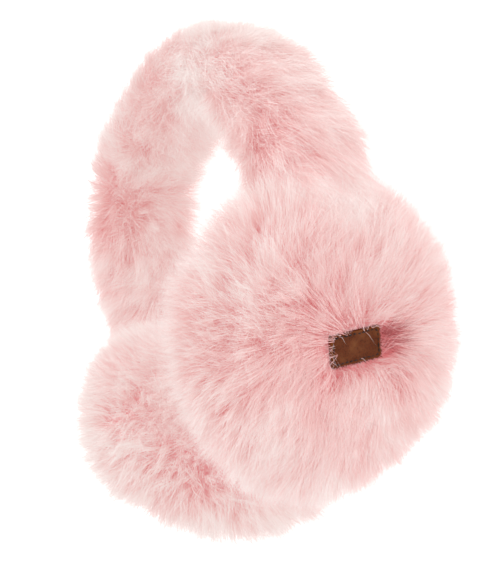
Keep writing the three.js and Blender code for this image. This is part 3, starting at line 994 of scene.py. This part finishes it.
def label_shade(own, label):
    """How much deeper in colour the fur of the labelled face is painted: most in the dimple past the label's
    end, a painted shadow, and some where the fur parts on its other side."""
    along, across = label_axes(label)
    x, y = own[:, [0, 2]] @ along, own[:, [0, 2]] @ across
    end = label.length / 2
    dimple = hill(x, end + 0.004, 0.0035) * hill(y, -0.001, 0.007)
    parting = hill(x, -end - 0.012, 0.016) * hill(y, -0.001, 0.022)
    return 0.9 * dimple + 0.3 * parting


def under_label(own, label, margin=LABEL_ROOT_MARGIN):
    """Whether points of the labelled cup's own frame lie under the label, on the outer face."""
    along, across = label_axes(label)
    flat = own[..., [0, 2]]
    inside = np.abs(flat @ along) < label.length / 2 + margin
    inside &= np.abs(flat @ across) < label.height / 2 + margin
    return inside & (own[..., 1] > 0)


def label_axes(label):
    """The ways along and up the label in the X and Z of the cup's own frame. It starts along X with its top
    towards -Z, and is turned about the axis."""
    cosine, sine = math.cos(label.turn), math.sin(label.turn)
    return np.array([cosine, -sine]), np.array([-sine, -cosine])


class EARMUFFS_OT_headband_fur(bpy.types.Operator):
    """Grow the fur of the headband, combed along it"""
    bl_idname = "earmuffs.headband_fur"
    bl_label = "Headband Fur"

    def execute(self, context):
        scene = context.scene
        cups, band, lying = shapes(scene)
        fur = scene.earmuffs_fur
        material = fur_material("headband fur", scene.earmuffs_colours)
        for part, first, last, count, seed in BAND_COATS:
            rng = np.random.default_rng(seed)
            share, section = rng.uniform(first, last, count), rng.uniform(0, 1, count)
            roots, normals, along = band.surface(share, section, fur.depth)
            free = np.all([cup.level(roots, fur.depth) > 1 for cup in cups.values()], axis=0)
            share, roots, normals, along = share[free], roots[free], normals[free], along[free]
            way = np.tanh((share - BAND_PARTING) / BAND_PARTING_SIZE)
            turn = wanders(roots, BAND_SWIRLS)
            side_way = np.cross(normals, along)
            flow = (along * np.cos(turn)[:, None] + side_way * np.sin(turn)[:, None]) * np.sign(way)[:, None]
            upper = lying.turn(normals)[:, 2]
            parted = hill(share, 0.78, 0.1) * hill(upper, 0.8, 0.3) * (1 + wander(roots, 0.015, 75))
            # The band's fur is painted paler by its share of length, as painted light; the wander is random tone
            paleness = np.interp(share, *BAND_PALENESS) + 0.05 * wander(roots, 0.025, 74) - 0.2 * parted
            outwards = (normals * np.cross([0, 1, 0], along)).sum(1)
            outer, inner = np.clip(outwards, 0, 1), np.clip(-outwards, 0, 1)
            crown = hill(share, 0.5, 0.15) * inner
            lean = np.clip(np.abs(way) * (1 + 0.15 * wander(roots, 0.03, 73)), 0, 1.2) * (1 - 0.5 * crown)
            # Fuller under the crown, above both cups on the outside and above the plain cup on the inside
            goal = 1 + fur.band_fluff + 0.3 * crown + 0.26 * hill(share, 0.17, 0.1) * outer
            goal += 0.12 * hill(share, 0.8, 0.12) * outer + 0.3 * hill(share, 0.72, 0.08) * inner
            goal += 0.09 * np.abs(outwards)
            coat = Coat(roots, normals, flow, lean, goal, paleness)
            grow(f"headband_{part}_fur", Comb(fur, band.level, BAND_LEAN, 20), coat, lying, material,
                 seed + 100)
        return {"FINISHED"}


def thread_material(label):
    material, _, shader = new_material("label thread")
    set_inputs(shader, Base_Color=with_alpha(label.thread), Roughness=0.8)
    return material


def label_outline(label, inset=0.0):
    """A rectangle with round corners, at this inset: a quarter turn of a circle of the corner's radius about
    each corner's middle, joined by the sides."""
    half = np.array([label.length, label.height]) / 2 - inset - label.corner
    parts = []
    for k, signs in enumerate([(1, 1), (-1, 1), (-1, -1), (1, -1)]):
        turn = np.linspace(0, math.pi / 2, 8) + k * math.pi / 2
        parts.append(half * signs + label.corner * np.stack([np.cos(turn), np.sin(turn)], 1))
    corners = np.concatenate(parts)
    closed = np.concatenate([corners, corners[:1]])
    length = length_along(closed)
    even = np.linspace(0, length[-1], OUTLINE_POINTS, endpoint=False)
    return np.stack([np.interp(even, length, closed[:, k]) for k in range(2)], 1)


def label_place(scene):
    """A function that puts points of the label into the row frame, from X along it, Y up it and a height over
    its back."""
    cups, _, lying = shapes(scene)
    along, across = label_axes(scene.earmuffs_label)

    def placed(flat, height):
        own = np.zeros(flat.shape[:-1] + (3,))
        own[..., [0, 2]] = flat[..., :1] * along + flat[..., 1:] * across
        own[..., 1] = lying.label_depth + height
        return lying.lay(cups[1].to_worn(own))

    return placed


def joined(parts):
    """Points and faces of many skins as one."""
    points, faces, start = [], [[] for _ in parts[0][1]], 0
    for part_points, part_faces in parts:
        points.append(part_points)
        for kept, more in zip(faces, part_faces):
            kept.append(more + start)
        start += len(part_points)
    return np.concatenate(points), [np.concatenate(kept) for kept in faces]


class EARMUFFS_OT_label(bpy.types.Operator):
    """Make the leather label with its cut edge"""
    bl_idname = "earmuffs.label"
    bl_label = "Leather Label"

    def execute(self, context):
        scene = context.scene
        label = scene.earmuffs_label
        placed = label_place(scene)
        outline = label_outline(label)
        flat = outline[None] * LABEL_PROFILE[:, :1, None]
        swell = 0.06 * wander(np.concatenate([flat, 0 * flat[..., :1]], -1), 0.004, 31)
        height = (LABEL_PROFILE[:, 1:] * (1 + swell)) * label.thickness
        poles = placed(np.zeros((2, 2)), np.array([0, LABEL_FACE * label.thickness]))
        skin = closed_skin(placed(flat, height), *poles)
        piece = new_object("label", *skin, leather_material(label, edge=False))
        piece.data.materials.append(leather_material(label, edge=True))
        kinds = np.zeros(len(piece.data.polygons), np.int32)
        kinds[LABEL_EDGE_ROWS[0] * len(outline):LABEL_EDGE_ROWS[1] * len(outline)] = 1
        piece.data.polygons.foreach_set("material_index", kinds)
        finish_piece(piece, "leather_label")
        return {"FINISHED"}


class EARMUFFS_OT_label_stitches(bpy.types.Operator):
    """Sew short stitches round the label, and fray its cut edge"""
    bl_idname = "earmuffs.label_stitches"
    bl_label = "Label Stitches"

    def execute(self, context):
        scene = context.scene
        label = scene.earmuffs_label
        placed = label_place(scene)
        rng = np.random.default_rng(61)
        seam = label_outline(label, label.stitch_inset)
        closed = np.concatenate([seam, seam[:1]])
        length = length_along(closed)
        count = round(length[-1] / label.stitch_pitch)
        turn = np.linspace(0, 2 * math.pi, STITCH_SIDES, endpoint=False)
        # The height of a stitch's middle and of its ends, over the label's back
        middle_height, end_height = label.thickness * 0.93, label.thickness * 0.9
        parts = []
        for k in range(count):
            ends = (k + np.array(STITCH_FILL) + rng.normal(0, 0.05, 2)) * length[-1] / count
            ends = np.stack([np.interp(ends, length, closed[:, axis]) for axis in range(2)], 1)
            ends += rng.normal(0, 0.0001, (2, 2))
            way = unit(ends[1] - ends[0])
            bulge = label.thread_width / 2 * np.sin(math.pi * STITCH_RINGS) ** 0.5
            middle = ends[0] + STITCH_RINGS[:, None] * (ends[1] - ends[0])
            side = np.array([-way[1], way[0]])
            flat = middle[:, None] + side * (bulge[:, None] * np.cos(turn))[..., None]
            height = middle_height + bulge[:, None] * np.sin(turn)
            parts.append(closed_skin(placed(flat, height), *placed(ends, np.full(2, end_height))))
        piece = new_object("label_stitches", *joined(parts), thread_material(label))
        finish_piece(piece)
        return self.fray(scene, placed, rng)

    @staticmethod
    def fray(scene, placed, rng):
        """Fibres stand out of the cut edge, each turned a little from the way straight out."""
        label = scene.earmuffs_label
        edge = label_outline(label)
        pick = rng.integers(0, len(edge), FIBRES)
        out = unit(edge[pick] / [label.length, label.height] + rng.normal(0, 0.25, (FIBRES, 2)))
        reach = label.fray * rng.uniform(0.3, 1, FIBRES)
        start = label.thickness * rng.uniform(0.3, 1, FIBRES)
        lift = rng.normal(0.3, 0.5, FIBRES) * reach
        roots = edge[pick] * 0.985
        rings = np.stack([placed(roots + out * (share * reach)[:, None], start + share * lift)
                          for share in STRAND_STEPS], 1)
        facing = unit(rng.normal(size=(FIBRES, 3)))
        tone = rng.normal(0.5, 0.25, FIBRES)
        dark = tuple(0.5 * part for part in label.leather)
        material = strand_material("label fibres", dark, label.leather, label.worn_leather,
                                   shade=(1, 1, 1), glow=(0, 0, 0), glow_strength=0)
        piece = ribbon_object("label_fibres", rings, facing, np.full(FIBRES, FIBRE_WIDTH), tone, material)
        finish_piece(piece)
        return {"FINISHED"}


class EARMUFFS_OT_label_hairs(bpy.types.Operator):
    """Lay fur over the near edge of the label and a few hairs across it"""
    bl_idname = "earmuffs.label_hairs"
    bl_label = "Hairs Over The Label"

    def execute(self, context):
        scene = context.scene
        label, fur = scene.earmuffs_label, scene.earmuffs_fur
        placed = label_place(scene)
        rng = np.random.default_rng(62)
        half = np.array([label.length, label.height]) / 2
        roots = np.stack([rng.uniform(-1.2, -1.04, EDGE_HAIRS), rng.uniform(-1.1, 1.1, EDGE_HAIRS)], 1)
        tips = roots + np.stack([rng.uniform(0.1, 0.26, EDGE_HAIRS), rng.normal(0, 0.3, EDGE_HAIRS)], 1)
        roots, tips = np.concatenate([HAIRS_ACROSS[:, 0], roots]), np.concatenate([HAIRS_ACROSS[:, 1], tips])
        count = len(roots)
        bend = rng.normal(0, 0.05, (count, 2))
        rings = []
        for share, height in zip(STRAND_STEPS, HAIR_HEIGHTS):
            flat = (roots + (tips - roots) * share + bend * math.sin(math.pi * share)) * half
            rings.append(placed(flat, label.thickness * (height + rng.uniform(0, 0.15, count))))
        facing = np.tile(unit(placed(np.zeros(2), 1.0) - placed(np.zeros(2), 0.0)), (count, 1))
        tone = rng.normal(0.45, 0.2, count)
        tone[:len(HAIRS_ACROSS)] = 0.8
        width = fur.strand_width * rng.uniform(0.5, 0.8, count)
        piece = ribbon_object("hairs_over_label", np.stack(rings, 1), facing, width, tone,
                              fur_material("cup fur", scene.earmuffs_colours))
        finish_piece(piece)
        return {"FINISHED"}


class EARMUFFS_OT_stage(bpy.types.Operator):
    """Make the floor, the light and the camera"""
    bl_idname = "earmuffs.stage"
    bl_label = "Stage"

    def execute(self, context):
        scene = context.scene
        stage = scene.earmuffs_stage
        half = stage.floor_size / 2
        corners = np.array([[-half, -half, 0], [half, -half, 0], [half, half, 0], [-half, half, 0]])
        material, _, shader = new_material("floor")
        set_inputs(shader, Base_Color=with_alpha(stage.floor), Roughness=0.9, Specular_IOR_Level=0.1,
                   Emission_Color=WHITE, Emission_Strength=stage.floor_glow)
        floor = new_object("floor", corners, [np.array([[0, 1, 2, 3]])], material, smooth=False)

        world = bpy.data.worlds.new("soft studio")
        world.use_nodes = True
        set_inputs(world.node_tree.nodes["Background"], Color=WHITE, Strength=stage.sky)
        scene.world = world
        scene.view_settings.view_transform = "Standard"
        scene.cycles.diffuse_bounces = 4
        scene.cycles.use_denoising = True

        back = Vector((math.sin(stage.azimuth) * math.cos(stage.elevation),
                       -math.cos(stage.azimuth) * math.cos(stage.elevation), math.sin(stage.elevation)))
        level = Vector((math.cos(stage.azimuth), math.sin(stage.azimuth), 0))
        turned = Matrix.Rotation(stage.roll, 3, back)
        right, up = turned @ level, turned @ back.cross(level)
        camera = bpy.data.objects.new("camera", bpy.data.cameras.new("camera"))
        camera.matrix_world = Matrix.Translation(Vector(stage.aim) + back * stage.distance) @ Matrix(
            (right, up, back)).transposed().to_4x4()
        camera.data.lens = stage.lens
        camera.data.sensor_width = 36
        camera.data.clip_start, camera.data.clip_end = 0.01, 50
        scene.collection.objects.link(camera)
        scene.camera = camera

        light = bpy.data.objects.new("key light", bpy.data.lights.new("key light", "AREA"))
        light.data.energy = stage.key
        light.data.shape = "DISK"
        light.data.size = KEY_SIZE
        away = right * KEY_PLACE[0] + up * KEY_PLACE[1] + back * KEY_PLACE[2]
        light.location = Vector(stage.aim) + away
        light.rotation_mode = "QUATERNION"
        light.rotation_quaternion = away.to_track_quat("Z", "Y")
        scene.collection.objects.link(light)
        return {"FINISHED"}


class EARMUFFS_PT_sidebar(bpy.types.Panel):
    """The earmuffs' sizes, colours and building steps"""
    bl_label = "Fur Earmuffs"
    bl_idname = "EARMUFFS_PT_sidebar"
    bl_space_type = "VIEW_3D"
    bl_region_type = "UI"
    bl_category = "Earmuffs"

    def draw(self, context):
        layout = self.layout
        for title, name, kind, steps in SECTIONS:
            box = layout.box()
            box.label(text=title)
            for key in kind.__annotations__:
                box.prop(getattr(context.scene, name), key)
            for step in steps:
                box.operator(step.bl_idname)


SECTIONS = [
    ("Ear cups", "earmuffs_cups", EarCupSizes, [EARMUFFS_OT_cup_backings]),
    ("Headband", "earmuffs_band", HeadbandSizes, [EARMUFFS_OT_headband_backing]),
    ("Fur", "earmuffs_fur", FurSizes, [EARMUFFS_OT_cup_fur, EARMUFFS_OT_headband_fur]),
    ("Fur colours", "earmuffs_colours", FurColours, []),
    ("Label", "earmuffs_label", LabelSizes,
     [EARMUFFS_OT_label, EARMUFFS_OT_label_stitches, EARMUFFS_OT_label_hairs]),
    ("Stage", "earmuffs_stage", StageSettings, [EARMUFFS_OT_stage]),
]


def register():
    for _, name, kind, steps in SECTIONS:
        bpy.utils.register_class(kind)
        setattr(bpy.types.Scene, name, PointerProperty(type=kind))
        for step in steps:
            bpy.utils.register_class(step)
    bpy.utils.register_class(EARMUFFS_PT_sidebar)


def unregister():
    bpy.utils.unregister_class(EARMUFFS_PT_sidebar)
    for _, name, kind, steps in reversed(SECTIONS):
        for step in steps:
            bpy.utils.unregister_class(step)
        delattr(bpy.types.Scene, name)
        bpy.utils.unregister_class(kind)


def main():
    register()
    bpy.ops.earmuffs.cup_backings()
    bpy.ops.earmuffs.headband_backing()
    bpy.ops.earmuffs.cup_fur()
    bpy.ops.earmuffs.headband_fur()
    bpy.ops.earmuffs.label()
    bpy.ops.earmuffs.label_stitches()
    bpy.ops.earmuffs.label_hairs()
    bpy.ops.earmuffs.stage()


if __name__ == "__main__":
    main()
